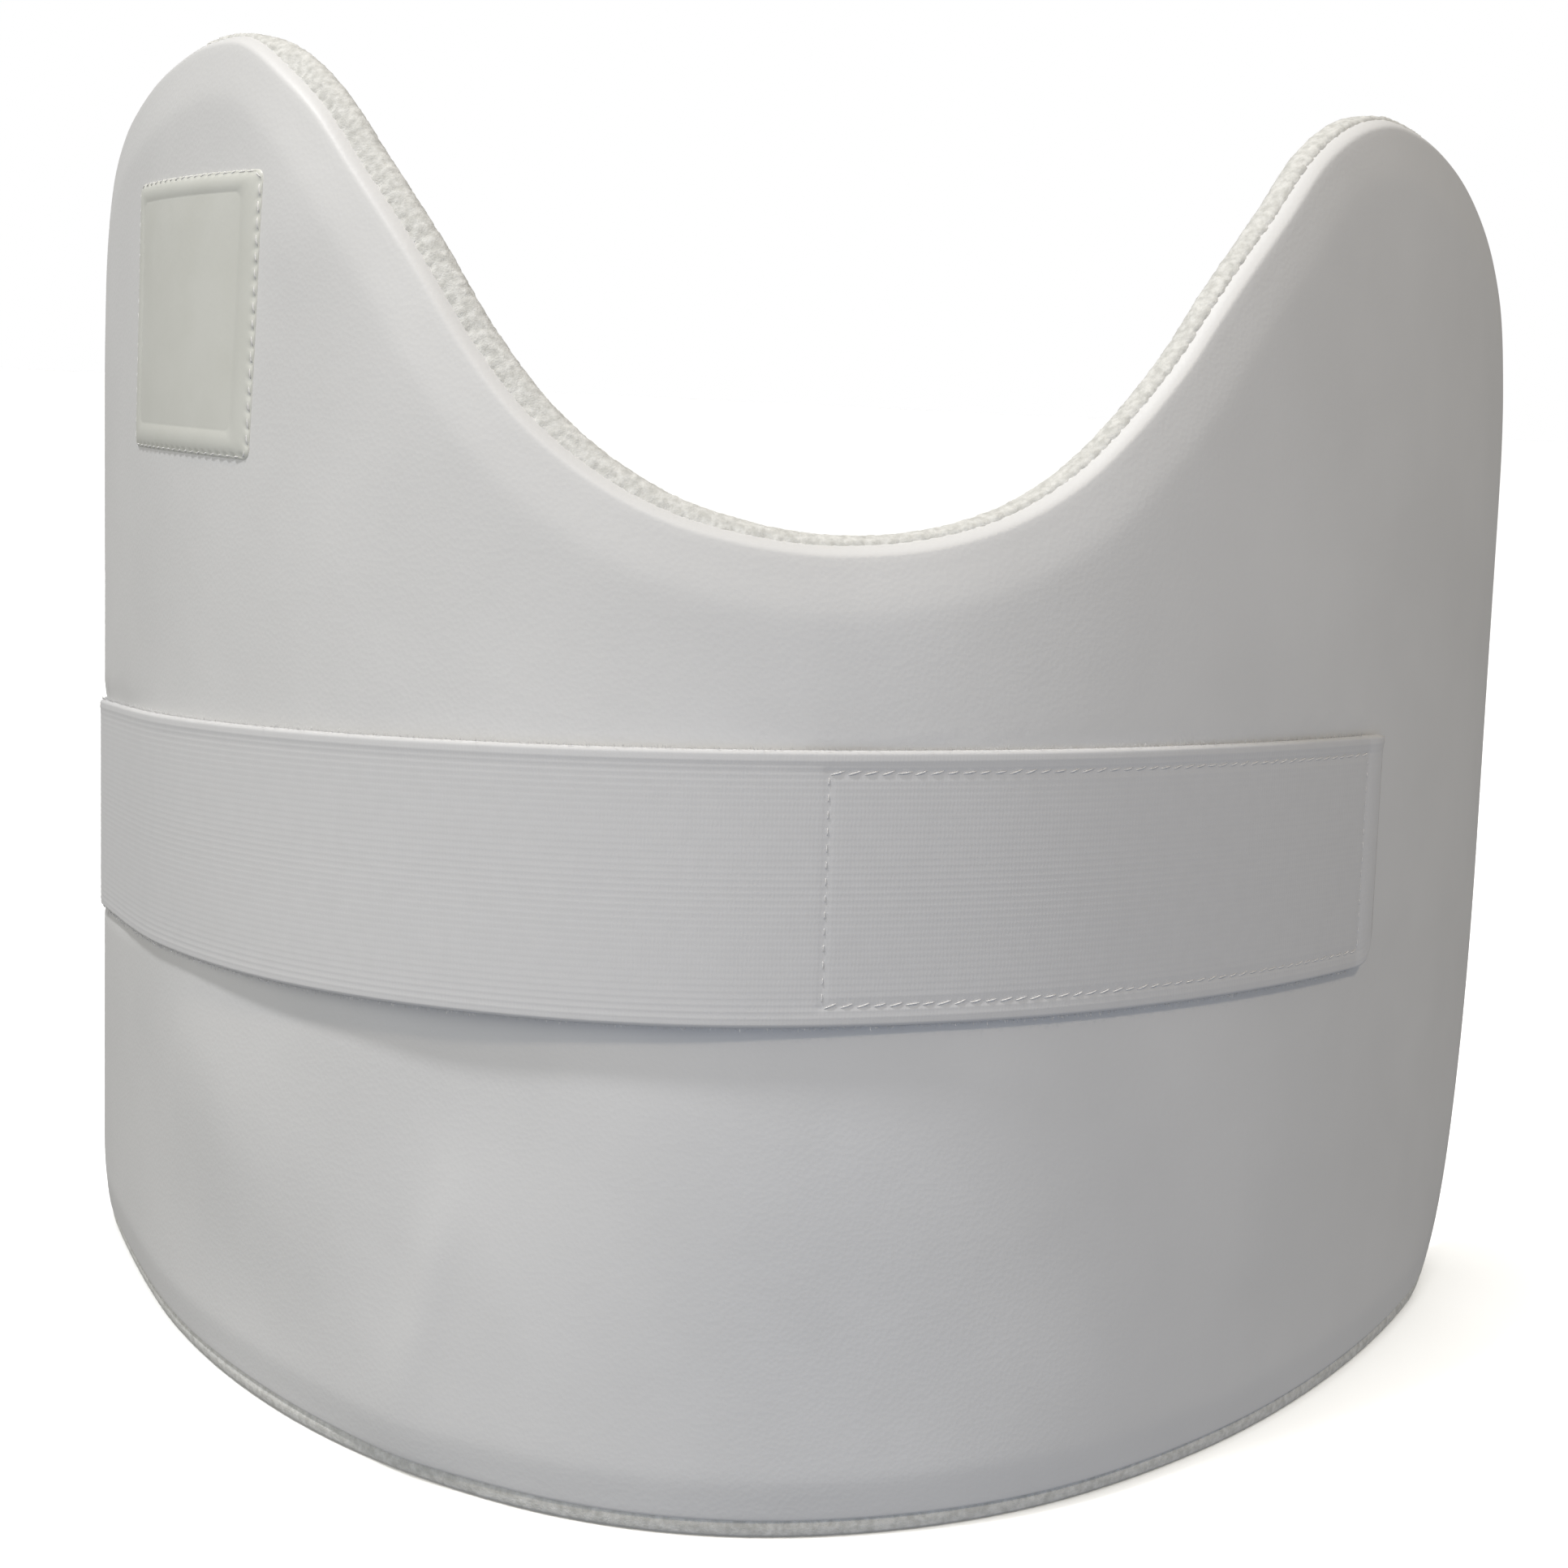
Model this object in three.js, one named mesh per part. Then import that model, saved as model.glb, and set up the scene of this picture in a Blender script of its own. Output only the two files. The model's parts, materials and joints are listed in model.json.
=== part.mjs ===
// Chest guard in millimetres, standing on its hem: +Z is up, the front faces -Y, its viewer's left is -X.
import * as THREE from "three";

const { degToRad, lerp, smoothstep } = THREE.MathUtils;

// The wall in plan is a row of equal arcs from the middle out to each side edge.
const arcLength = 60;
const lean = degToRad(6.6);

// For each side: the degrees that its arcs turn, how far its lower corner reaches along the hem and up
// the side edge, and how wide the towelling shows beside the scoop and past the peak.
const sides = {
  left: { turns: [28.5, 20, 17, 6.5], corner: { along: 18, high: 20 }, lip: { scoop: 4, past: 1.6 } },
  right: { turns: [22.5, 14.2, 11, 9.5], corner: { along: 52, high: 105 }, lip: { scoop: 2.8, past: 1.6 } },
};
const hemLip = 3;

// Where the margins change: from left to right, from scoop to past the peak, and from hem to top.
const change = { side: [-60, 60], past: [110, 150], up: [30, 160] };

// Top edge of the flat pattern, from the middle of the scoop over each peak to the end of its side.
const topEdge = [
  { across: 0, left: 185.1, right: 185.1 },
  { across: 17, left: 187, right: 186.5 },
  { across: 32, left: 191.2, right: 190.7 },
  { across: 46, left: 198.4, right: 198.2 },
  { across: 58, left: 207.3, right: 208 },
  { across: 69, left: 218.8, right: 219 },
  { across: 81, left: 234, right: 233.4 },
  { across: 95.5, left: 249.8, right: 248.9 },
  { across: 109.5, left: 263.6, right: 263 },
  { across: 120, left: 270.2, right: 268.8 },
  { across: 133, left: 274.2, right: 271.6 },
  { across: 148, left: 274.8, right: 271 },
  { across: 168, left: 272, right: 266.8 },
  { across: 190, left: 267.2, right: 258.6 },
  { across: 209, left: 261, right: 248.2 },
  { across: 224, left: 252, right: 236.2 },
  { across: 234, left: 238.5, right: 221 },
  { across: 239, left: 216, right: 204 },
  { across: 240, left: 187.5, right: 187.5 },
];
const halfWidth = topEdge.at(-1).across;

// Cells of the faces, crowded towards the hem where the lower corners turn.
const grid = { columns: 48, rows: 12, crowding: 1.5 };

// Foam under leather, thinned towards its rim by a bevel that ends in a soft ridge.
const panel = { thickness: 8, bevel: { hem: 7, top: 12 }, field: 1.25, rimDrop: 4.4 };

// Towelling behind the panel, turned over its rim.
const lining = { thickness: 2.4, lipFront: 3.6 };

// Elastic band; it stands a little further off the panel where its hook patch lies under it, and sinks
// over the panel's bevel before it leaves the front.
const band = {
  width: 50,
  thickness: 1.6,
  standOff: { loose: 0.35, hooked: 1.5, rise: 100 },
  sinks: { from: -226, by: 1.8 },
  low: 97.9,
  slope: 0.0155,
  tip: 139.5,
  leaves: -235.5,
  sewn: { from: 190, to: 229 },
  bend: { anchor: 6, rim: 7 },
};
const hook = { from: -1, to: 134, margin: 4, thickness: 0.9 };

const badge = {
  across: -156,
  height: 228.8,
  width: 61,
  length: 56,
  turn: degToRad(-5),
  base: 1.1,
  edge: 0.4,
  border: 4,
  bead: { width: 3, rise: 1.1 },
};

// Soft crease that runs down towards the hem on the viewer's left.
const crease = { top: [-66, 64], foot: [-84, 16], depth: 1.4, reach: 16 };

const gap = 0.3;

// Plan of the wall's outer face at a distance along it; heading is the way that the wall runs there.
function planAt(across) {
  const { turns } = across < 0 ? sides.left : sides.right;
  const hand = across < 0 ? -1 : 1;
  let rest = Math.abs(across);
  let x = 0;
  let y = 0;
  let heading = 0;
  for (const turn of turns) {
    const run = Math.min(rest, arcLength);
    const sweep = (degToRad(turn) * run) / arcLength;
    const chord = sweep ? (run * Math.sin(sweep / 2)) / (sweep / 2) : run;
    x += chord * Math.cos(heading + sweep / 2);
    y += chord * Math.sin(heading + sweep / 2);
    heading += sweep;
    rest -= run;
  }
  return { x: hand * x, y, heading: hand * heading };
}

// A place in plan raised along the leaning wall: the hem, at no height, lies flat on the floor.
function raised(x, y, up) {
  return new THREE.Vector3(x, y + up * Math.sin(lean), up * Math.cos(lean));
}

// A place on the pattern, moved out from the wall's face.
function onWall({ across, up, out }) {
  const { x, y, heading } = planAt(across);
  return raised(x + out * Math.sin(heading), y - out * Math.cos(heading), up);
}

// Outline of the pattern: along the hem, up the right side, back along the top, down the left side.
function outline() {
  const [left, right] = Object.entries(sides).map(([name, { corner }]) => {
    const hand = name === "left" ? -1 : 1;
    const inner = halfWidth - corner.along;
    const half = new THREE.CatmullRomCurve3(
      topEdge.map((row) => new THREE.Vector3(row.across, row[name], 0)),
    ).getSpacedPoints(grid.columns / 2);
    const top = half.map((p) => ({ across: hand * p.x, up: p.y }));
    const hem = half.map((p) => {
      const across = (p.x / halfWidth) * (inner + corner.along * Math.SQRT1_2);
      const past = Math.max(0, (across - inner) / corner.along);
      return { across: hand * across, up: corner.high * (1 - Math.sqrt(1 - past ** 2)) };
    });
    const edge = Array.from({ length: grid.rows + 1 }, (_, j) => {
      const up = lerp(hem.at(-1).up, top.at(-1).up, (j / grid.rows) ** grid.crowding);
      const below = Math.max(0, 1 - up / corner.high);
      return { across: hand * (inner + corner.along * Math.sqrt(1 - below ** 2)), up };
    });
    return { top, hem, edge };
  });
  return [
    ...left.hem.slice(1).toReversed(),
    ...right.hem.slice(0, -1),
    ...right.edge.slice(0, -1),
    ...right.top.slice(1).toReversed(),
    ...left.top.slice(0, -1),
    ...left.edge.slice(1).toReversed(),
  ];
}

// The loop that lies inside another by a distance that may change from point to point.
function insetLoop(loop, inset, out) {
  return loop.map((p, i) => {
    const before = loop.at(i - 1);
    const after = loop[(i + 1) % loop.length];
    const run = new THREE.Vector2(after.across - before.across, after.up - before.up).normalize();
    const distance = inset(p);
    return { across: p.across - run.y * distance, up: p.up + run.x * distance, out };
  });
}

// Place of a grid point in the loop around it, or -1 where it lies inside.
function loopIndex(i, j, { columns, rows }) {
  if (j === 0) return i;
  if (i === columns) return columns + j;
  if (j === rows) return 2 * columns + rows - i;
  if (i === 0) return 2 * columns + 2 * rows - j;
  return -1;
}

// A point of the grid that is stretched between the four sides of a loop.
function stretched(loop, i, j, cells) {
  const { columns, rows } = cells;
  const u = i / columns;
  const v = j / rows;
  const at = (a, b) => loop[loopIndex(a, b, cells)];
  const blend = (key) => {
    const hemToTop = lerp(at(i, 0)[key], at(i, rows)[key], v);
    const sideToSide = lerp(at(0, j)[key], at(columns, j)[key], u);
    const low = lerp(at(0, 0)[key], at(columns, 0)[key], u);
    const high = lerp(at(0, rows)[key], at(columns, rows)[key], u);
    return hemToTop + sideToSide - lerp(low, high, v);
  };
  return { across: blend("across"), up: blend("up"), out: blend("out") };
}

function solidGeometry(points, faces) {
  const geometry = new THREE.BufferGeometry().setFromPoints(points);
  geometry.setIndex(faces);
  geometry.computeVertexNormals();
  return geometry;
}

// Closed solid from loops stacked from front to back, each end closed by a stretched grid.
// Each cell is split along its shorter diagonal, so that faces that lie on each other match.
function stackedSolid(loops, cells, relief = () => 0) {
  const points = loops.flat().map(onWall);
  const count = loops[0].length;
  const faces = [];
  const length = (a, b) => points[a].distanceTo(points[b]);
  const quad = (a, b, c, d) =>
    length(a, c) < length(b, d) ? faces.push(a, b, c, a, c, d) : faces.push(b, c, d, b, d, a);
  for (let k = 0; k + 1 < loops.length; k++) {
    for (let i = 0; i < count; i++) {
      const j = (i + 1) % count;
      quad(k * count + i, (k + 1) * count + i, (k + 1) * count + j, k * count + j);
    }
  }
  for (const end of [0, loops.length - 1]) {
    const inside = new Map();
    const id = (i, j) => {
      const edge = loopIndex(i, j, cells);
      if (edge >= 0) return end * count + edge;
      const key = i * cells.rows + j;
      if (!inside.has(key)) {
        const p = stretched(loops[end], i, j, cells);
        p.out += end === 0 ? relief(p.across, p.up) : 0;
        inside.set(key, points.push(onWall(p)) - 1);
      }
      return inside.get(key);
    };
    for (let i = 0; i < cells.columns; i++) {
      for (let j = 0; j < cells.rows; j++) {
        const corners = [id(i, j), id(i + 1, j), id(i + 1, j + 1), id(i, j + 1)];
        quad(...(end === 0 ? corners : corners.toReversed()));
      }
    }
  }
  return solidGeometry(points, faces);
}

// How far the towelling's lip reaches in from the outline before the leather starts.
function lipAt({ across, up }) {
  const { left, right } = sides;
  const beside = lerp(left.lip.scoop, right.lip.scoop, smoothstep(across, ...change.side));
  const past = lerp(left.lip.past, right.lip.past, smoothstep(across, ...change.side));
  const top = lerp(beside, past, smoothstep(Math.abs(across), ...change.past));
  return lerp(hemLip, top, smoothstep(up, ...change.up));
}

// Distance in from the outline by share of the bevel, which is narrow at the hem and wide at the top.
function bevelInset(share) {
  return (p) => {
    const bevel = lerp(panel.bevel.hem, panel.bevel.top, smoothstep(p.up, ...change.up));
    return lipAt(p) + share * bevel;
  };
}

// How far the soft crease sinks the leather at a place on the pattern.
function creaseDepth(across, up) {
  const ends = [crease.top, crease.foot].map(([x, y]) => new THREE.Vector3(x, y, 0));
  const place = new THREE.Vector3(across, up, 0);
  const nearest = new THREE.Line3(...ends).closestPointToPoint(place, true, new THREE.Vector3());
  return -crease.depth * Math.exp(-((nearest.distanceTo(place) / crease.reach) ** 2));
}

function panelGeometry() {
  const rim = outline();
  const sections = [
    { share: panel.field, out: 0 },
    { share: 1, out: -0.25 },
    { share: 0.55, out: -1.5 },
    { share: 0.2, out: -2.6 },
    { share: 0.04, out: -3.5 },
    { share: 0, out: -panel.rimDrop },
    { share: 0, out: -panel.thickness },
    { share: panel.field, out: -panel.thickness },
  ];
  const loops = sections.map(({ share, out }) => insetLoop(rim, bevelInset(share), out));
  return stackedSolid(loops, grid, creaseDepth);
}

function liningGeometry() {
  const rim = outline();
  const face = -panel.thickness - gap;
  const back = face - lining.thickness;
  const lip = [
    { share: 1, out: face },
    { share: 1, out: -lining.lipFront - 0.8 },
    { share: 0.66, out: -lining.lipFront },
    { share: 0.22, out: -lining.lipFront - 0.5 },
    { share: 0, out: -lining.lipFront - 2 },
    { share: 0, out: back + 1.6 },
    { share: 0.35, out: back },
  ];
  const field = bevelInset(panel.field);
  const loops = [
    insetLoop(rim, field, face),
    ...lip.map(({ share, out }) => insetLoop(rim, (p) => share * (lipAt(p) - gap), out)),
    insetLoop(rim, field, back),
  ];
  return stackedSolid(loops, grid);
}

// Flat badge with a raised bead inside its sewn border, set square to the leaning wall and then turned.
function badgeGeometry() {
  const cells = { columns: 8, rows: 8 };
  const line = (a, b, n) => Array.from({ length: n }, (_, k) => lerp(a, b, k / n));
  const loopAt = (inset, out) => {
    const wide = badge.width / 2 - inset;
    const high = badge.length / 2 - inset;
    const frame = [
      ...line(-wide, wide, cells.columns).map((x) => new THREE.Vector2(x, -high)),
      ...line(-high, high, cells.rows).map((y) => new THREE.Vector2(wide, y)),
      ...line(wide, -wide, cells.columns).map((x) => new THREE.Vector2(x, high)),
      ...line(high, -high, cells.rows).map((y) => new THREE.Vector2(-wide, y)),
    ];
    return frame.map((p) => {
      p.rotateAround(new THREE.Vector2(), badge.turn);
      const across = badge.across + p.x;
      return { across, up: badge.height + p.y - planAt(across).y * Math.tan(lean), out };
    });
  };
  const top = gap + badge.base;
  const loops = [
    loopAt(badge.border + badge.bead.width, top),
    loopAt(badge.border + badge.bead.width / 2, top + badge.bead.rise),
    loopAt(badge.border, top),
    loopAt(badge.edge, top),
    loopAt(0, top - badge.edge),
    loopAt(0, gap),
  ];
  return stackedSolid(loops, cells);
}

// Lower edge of the band, which lies square to the leaning wall and a little askew.
function bandLow(x, y) {
  return band.low + band.slope * x - y * Math.tan(lean);
}

// Closed strip along a path in plan, between two heights above the band's lower edge.
function stripGeometry(path, thickness, from, to) {
  const corners = [
    { shift: 0.5, height: from },
    { shift: 0.5, height: to },
    { shift: -0.5, height: to },
    { shift: -0.5, height: from },
  ];
  const points = path.flatMap(({ x, y, heading }) =>
    corners.map(({ shift, height }) => {
      const px = x + shift * thickness * Math.sin(heading);
      const py = y - shift * thickness * Math.cos(heading);
      return raised(px, py, bandLow(px, py) + height);
    }),
  );
  const faces = [];
  const quad = (a, b, c, d) => faces.push(a, b, c, a, c, d);
  for (let k = 0; k + 1 < path.length; k++) {
    for (let e = 0; e < 4; e++) {
      const f = (e + 1) % 4;
      quad(4 * k + e, 4 * (k + 1) + e, 4 * (k + 1) + f, 4 * k + f);
    }
  }
  const last = 4 * (path.length - 1);
  quad(0, 1, 2, 3);
  quad(last + 3, last + 2, last + 1, last);
  return solidGeometry(points, faces);
}

// A run of a path that follows the wall at a distance out from its face.
function wallRun(from, to, outAt, steps) {
  return Array.from({ length: steps + 1 }, (_, k) => {
    const across = lerp(from, to, k / steps);
    const { x, y, heading } = planAt(across);
    const out = outAt(across);
    return { x: x + out * Math.sin(heading), y: y - out * Math.cos(heading), heading };
  });
}

// A bend of a path about a centre on its left, from one heading to another.
function bendRun(centre, radius, from, to, steps) {
  return Array.from({ length: steps + 1 }, (_, k) => {
    const heading = lerp(from, to, k / steps);
    const x = centre.x + radius * Math.sin(heading);
    const y = centre.y - radius * Math.cos(heading);
    return { x, y, heading };
  });
}

// Whole band: sewn inside the right edge, straight across the open back, round the left edge to its tip.
function bandPath() {
  const { loose, hooked, rise } = band.standOff;
  const inside = -panel.thickness - lining.thickness - 2 * gap - band.thickness / 2;
  const outside = (across) => {
    const standOff = lerp(loose, hooked, smoothstep(across, hook.from - rise, hook.from));
    const sunk = band.sinks.by * smoothstep(-across, -band.sinks.from, -band.leaves);
    return standOff - sunk + band.thickness / 2;
  };
  const sewn = wallRun(band.sewn.from, band.sewn.to, () => inside, 5);
  const front = wallRun(band.leaves, band.tip, outside, 60);
  const { anchor, rim } = band.bend;
  const centreOf = ({ x, y, heading }, radius) =>
    new THREE.Vector2(x - radius * Math.sin(heading), y + radius * Math.cos(heading));
  const first = centreOf(sewn.at(-1), anchor);
  const second = centreOf(front[0], rim);
  const between = second.clone().sub(first);
  const straight = between.angle() - Math.asin((rim - anchor) / between.length());
  return [
    ...sewn.slice(0, -1),
    ...bendRun(first, anchor, sewn.at(-1).heading, straight, 8),
    ...bendRun(second, rim, straight, front[0].heading + 2 * Math.PI, 10),
    ...front.slice(1),
  ];
}

const standing = new THREE.Group();

function addPiece(name, geometry, color, roughness) {
  const mesh = new THREE.Mesh(geometry, new THREE.MeshStandardMaterial({ color, roughness }));
  mesh.name = name;
  standing.add(mesh);
}

const hookPath = wallRun(hook.from, hook.to, () => gap + hook.thickness / 2, 18);
const hookStrip = stripGeometry(hookPath, hook.thickness, hook.margin, band.width - hook.margin);
addPiece("chest_panel", panelGeometry(), 0xe6e6e4, 0.5);
addPiece("lining", liningGeometry(), 0xf2f2f0, 0.95);
addPiece("badge", badgeGeometry(), 0xecece6, 0.4);
addPiece("strap", stripGeometry(bandPath(), band.thickness, 0, band.width), 0xf4f4f2, 0.85);
addPiece("hook_patch", hookStrip, 0xdededc, 0.9);

// The origin lies on the floor, under the middle of the whole guard.
const middle = new THREE.Box3().setFromObject(standing).getCenter(new THREE.Vector3());
standing.position.set(-middle.x, -middle.y, 0);

const guard = new THREE.Group();
guard.name = "chest_guard";
guard.add(standing);

export default guard;
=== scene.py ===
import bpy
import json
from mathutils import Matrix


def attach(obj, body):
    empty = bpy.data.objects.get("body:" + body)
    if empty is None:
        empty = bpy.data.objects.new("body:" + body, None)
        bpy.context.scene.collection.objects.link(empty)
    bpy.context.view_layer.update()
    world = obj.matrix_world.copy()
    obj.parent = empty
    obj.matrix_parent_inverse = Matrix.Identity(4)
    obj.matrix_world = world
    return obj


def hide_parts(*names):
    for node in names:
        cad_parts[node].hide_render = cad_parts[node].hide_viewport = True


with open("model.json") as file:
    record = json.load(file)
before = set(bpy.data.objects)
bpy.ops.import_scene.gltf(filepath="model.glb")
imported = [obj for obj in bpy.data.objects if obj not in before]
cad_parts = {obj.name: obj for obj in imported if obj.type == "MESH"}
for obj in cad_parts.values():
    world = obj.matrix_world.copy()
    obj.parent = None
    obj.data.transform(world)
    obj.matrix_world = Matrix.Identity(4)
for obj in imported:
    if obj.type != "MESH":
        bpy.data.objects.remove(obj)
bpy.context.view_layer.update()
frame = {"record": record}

import json
import math

import bpy
import numpy as np
from mathutils import Matrix

# Patterns are in millimetres: across from the middle of the scoop (the viewer's left is negative),
# up along the leaning wall, and out from the face of the leather.
mm = 0.001
random = np.random.default_rng(11)

wall = {
    "arcLength": 60,  # each side is a row of arcs of this length, seen from above
    "turns": {"left": (28.5, 20, 17, 6.5), "right": (22.5, 14.2, 11, 9.5)},  # degrees
    "lean": math.radians(6.6),
    "hemSeat": 7.35,  # how far the hem's mount lies behind the face
    "corner": {"left": (18, 20), "right": (52, 105)},  # reach along the hem and up the side
    "topEdge": (  # across, height on the left, height on the right
        (0, 185.1, 185.1), (17, 187, 186.5), (32, 191.2, 190.7), (46, 198.4, 198.2), (58, 207.3, 208),
        (69, 218.8, 219), (81, 234, 233.4), (95.5, 249.8, 248.9), (109.5, 263.6, 263),
        (120, 270.2, 268.8), (133, 274.2, 271.6), (148, 274.8, 271), (168, 272, 266.8),
        (190, 267.2, 258.6), (209, 261, 248.2), (224, 252, 236.2), (234, 238.5, 221), (239, 216, 204),
        (240, 187.5, 187.5),
    ),
    "lip": {  # towelling that shows round the leather, and where its width changes
        "left": 3.2, "right": 1, "past": 0.3, "hem": 3, "leftToRight": (-70, 20), "toPast": (116, 138)},
    "bevel": {"hem": 7, "top": 9.5},
    "hemRoll": 0.6,  # the rolled edge is narrower at the hem
    "hemToTop": (30, 160),  # the rim turns from the hem's form to the top's between these heights
    "columns": 220,
    "rows": 84,
    "crowding": 1.5,  # rows lie closer together near the hem
    "band": (97.9, 0.0155),  # the strap's lower edge: height in the middle, and slope
}
tanLean = math.tan(wall["lean"])
halfWidth = wall["topEdge"][-1][0]
hemMount = frame["record"]["mounts"][0]["pos_m"]
origin = np.array([hemMount[0], hemMount[1] - wall["hemSeat"] * mm, 0])


def smooth(value, low, high):
    t = np.clip((np.asarray(value, float) - low) / (high - low), 0, 1)
    return t * t * (3 - 2 * t)


def lerp(a, b, t):
    return a + (b - a) * t


def normalised(vectors):
    return vectors / np.maximum(np.linalg.norm(vectors, axis=-1, keepdims=True), 1e-12)


def runOf(line):
    steps = np.linalg.norm(np.diff(line, axis=0), axis=1)
    return np.concatenate([[0], np.cumsum(steps)])


def alongLine(line, run, at):
    return np.stack([np.interp(at, run, line[:, k]) for k in range(line.shape[1])], -1)


def evenly(line, count):
    run = runOf(line)
    return alongLine(line, run, np.linspace(0, run[-1], count + 1))


def smoothLine(points, perSpan=40, level=False):
    # one soft curve through a short list of points; it may start level
    points = np.asarray(points, float)
    t = runOf(points)
    slope = np.gradient(points, t, axis=0)
    if level:
        slope[0, 1] = 0
    fine = np.linspace(0, t[-1], perSpan * len(points))
    k = np.clip(np.searchsorted(t, fine, "right") - 1, 0, len(t) - 2)
    width = (t[k + 1] - t[k])[:, None]
    s = (fine - t[k])[:, None] / width
    start, end = points[k], points[k + 1]
    return (
        start * (2 * s**3 - 3 * s**2 + 1) + end * (3 * s**2 - 2 * s**3)
        + width * (slope[k] * (s**3 - 2 * s**2 + s) + slope[k + 1] * (s**3 - s**2))
    )


def arcs(distance, turns):
    x, y, heading = np.zeros_like(distance), np.zeros_like(distance), np.zeros_like(distance)
    rest = distance.copy()
    for turn in turns:
        run = np.minimum(rest, wall["arcLength"])
        sweep = math.radians(turn) * run / wall["arcLength"]
        chord = run * np.sinc(sweep / 2 / math.pi)
        x += chord * np.cos(heading + sweep / 2)
        y += chord * np.sin(heading + sweep / 2)
        heading += sweep
        rest -= run
    return x, y, heading


def planAt(across):
    # the wall's face seen from above: place, and the way it runs there
    across = np.asarray(across, float)
    left = arcs(np.maximum(-across, 0), wall["turns"]["left"])
    right = arcs(np.maximum(across, 0), wall["turns"]["right"])
    signs = (-1, 1, -1)
    return tuple(np.where(across < 0, sign * l, r) for sign, l, r in zip(signs, left, right))


def raised(x, y, up):
    lean = wall["lean"]
    return np.stack([x, y + up * math.sin(lean), up * math.cos(lean)], -1) * mm + origin


def outFrom(x, y, heading, out):
    return x + out * np.sin(heading), y - out * np.cos(heading)


def onWall(pattern):
    return raised(*outFrom(*planAt(pattern[..., 0]), pattern[..., 2]), pattern[..., 1])


def bandLow(x, y):
    low, slope = wall["band"]
    return low + slope * x - y * tanLean


def besideBand(x, y, heading, out, height):
    # place this far out from the wall, at a height above the strap's lower edge
    px, py = outFrom(x, y, heading, out)
    return raised(px, py, bandLow(px, py) + height)


def outline(columns, rows):
    # along the hem, up the right side, back along the top, down the left side
    parts = {}
    for column, (name, hand) in enumerate((("left", -1), ("right", 1)), 1):
        along, high = wall["corner"][name]
        inner = halfWidth - along
        curve = smoothLine([(row[0], row[column]) for row in wall["topEdge"]], level=True)
        half = evenly(curve, columns // 2)
        top = half * (hand, 1)
        hemAcross = half[:, 0] / halfWidth * (inner + along * math.sqrt(0.5))
        past = np.maximum(0, (hemAcross - inner) / along)
        hem = np.stack([hand * hemAcross, high * (1 - np.sqrt(1 - past**2))], 1)
        up = lerp(hem[-1, 1], top[-1, 1], np.linspace(0, 1, rows + 1) ** wall["crowding"])
        below = np.maximum(0, 1 - up / high)
        edge = np.stack([hand * (inner + along * np.sqrt(1 - below**2)), up], 1)
        parts[name] = (top, hem, edge)
    (leftTop, leftHem, leftEdge), (rightTop, rightHem, rightEdge) = parts["left"], parts["right"]
    return np.concatenate([
        leftHem[:0:-1], rightHem[:-1], rightEdge[:-1], rightTop[:0:-1], leftTop[:-1], leftEdge[:0:-1],
    ])


def insetLoop(loop, inset, out):
    run = normalised(np.roll(loop, -1, 0) - np.roll(loop, 1, 0))
    moved = loop + np.stack([-run[:, 1], run[:, 0]], 1) * np.reshape(inset, (-1, 1))
    return np.column_stack([moved, np.broadcast_to(out, len(loop))])


def highness(loop):
    return smooth(loop[:, 1], *wall["hemToTop"])  # 0 beside the hem, 1 beside the top


def lipAt(loop):
    lip = wall["lip"]
    beside = lerp(lip["left"], lip["right"], smooth(loop[:, 0], *lip["leftToRight"]))
    top = lerp(beside, lip["past"], smooth(np.abs(loop[:, 0]), *lip["toPast"]))
    return lerp(lip["hem"], top, highness(loop))


def rimInset(loop, roll, share):
    # in from the outline: the lip, then the rolled edge in millimetres, then a share of the bevel
    bevel = lerp(wall["bevel"]["hem"], wall["bevel"]["top"], highness(loop))
    return lipAt(loop) + roll * lerp(wall["hemRoll"], 1, highness(loop)) + share * bevel


def stretched(loop, columns, rows, crowding):
    # grid of points drawn between the four sides of a loop
    hem, top = loop[: columns + 1], loop[columns + rows : 2 * columns + rows + 1][::-1]
    right = loop[columns : columns + rows + 1]
    left = np.concatenate([loop[2 * columns + rows :], loop[:1]])[::-1]
    u = np.linspace(0, 1, columns + 1)[None, :, None]
    v = np.linspace(0, 1, rows + 1)[:, None, None] ** crowding
    corners = lerp(lerp(hem[0], hem[-1], u), lerp(top[0], top[-1], u), v)
    return lerp(hem[None], top[None], v) + lerp(left[:, None], right[:, None], u) - corners


def sleeve(ids):
    # faces between closed sections, each of them one row of ids
    after = np.roll(ids, -1, 1)
    return np.stack([ids[:-1], ids[1:], after[1:], after[:-1]], -1).reshape(-1, 4)


def stackedSolid(loops, columns, rows, crowding=1):
    # closed solid from loops stacked from front to back, with a stretched grid over each end
    rings = np.arange(len(loops) * len(loops[0])).reshape(len(loops), -1)
    points, faces, used = [*loops], [sleeve(rings)], rings.size
    for end in (0, len(loops) - 1):
        ring = rings[end]
        inner = stretched(loops[end], columns, rows, crowding)[1:-1, 1:-1]
        innerCount = inner.shape[0] * inner.shape[1]
        ids = np.zeros((rows + 1, columns + 1), int)
        ids[0] = ring[: columns + 1]
        ids[:, -1] = ring[columns : columns + rows + 1]
        ids[-1] = ring[columns + rows : 2 * columns + rows + 1][::-1]
        ids[1:, 0] = ring[2 * columns + rows :][::-1]
        ids[1:-1, 1:-1] = used + np.arange(innerCount).reshape(inner.shape[:2])
        used += innerCount
        points.append(inner.reshape(-1, 3))
        cells = np.stack([ids[:-1, :-1], ids[:-1, 1:], ids[1:, 1:], ids[1:, :-1]], -1).reshape(-1, 4)
        faces.append(cells if end == 0 else cells[:, ::-1])
    return np.concatenate(points), [np.concatenate(faces)]


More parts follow.
